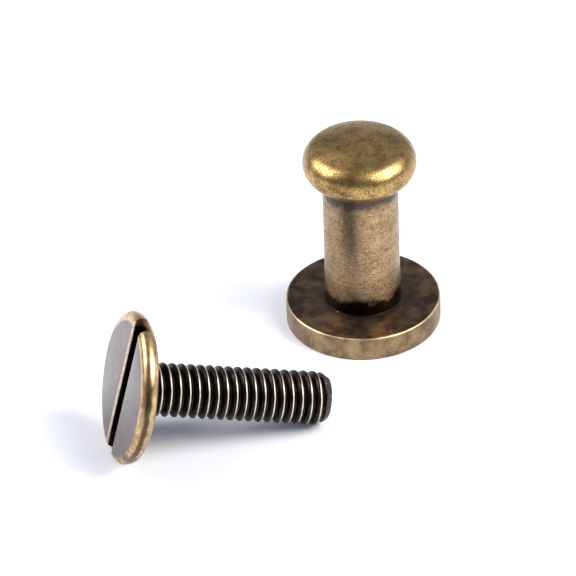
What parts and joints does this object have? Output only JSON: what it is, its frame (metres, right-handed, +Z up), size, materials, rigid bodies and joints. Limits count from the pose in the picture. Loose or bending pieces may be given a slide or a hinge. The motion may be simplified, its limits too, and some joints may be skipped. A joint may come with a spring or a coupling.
{
  "type": "binding barrel screw",
  "caption": "Two-piece brass binding screw, taken apart: a round-knobbed stud with a flange and tapped hole, and the slotted flat-headed screw that fits it.",
  "frame": {"origin": "centre of the underside of the stud's flange, on the stud's axis", "axes": "+Z up the stud's axis to its knob; the screw lies on the same plane, on the -X and -Y side, its tip pointing 11.35 degrees from +X towards +Y and dipping 14.25 degrees"},
  "size_m": [0.0247, 0.0263, 0.0156],
  "materials": {
    "aged_brass": "antiqued, hand-polished brass with brown patina",
    "dark_brass": "antiqued brass, dark in the thread and bright on its crests"
  },
  "bodies": {
    "root": {"stud": "aged_brass", "screw": "dark_brass"}
  },
  "joints": []
}
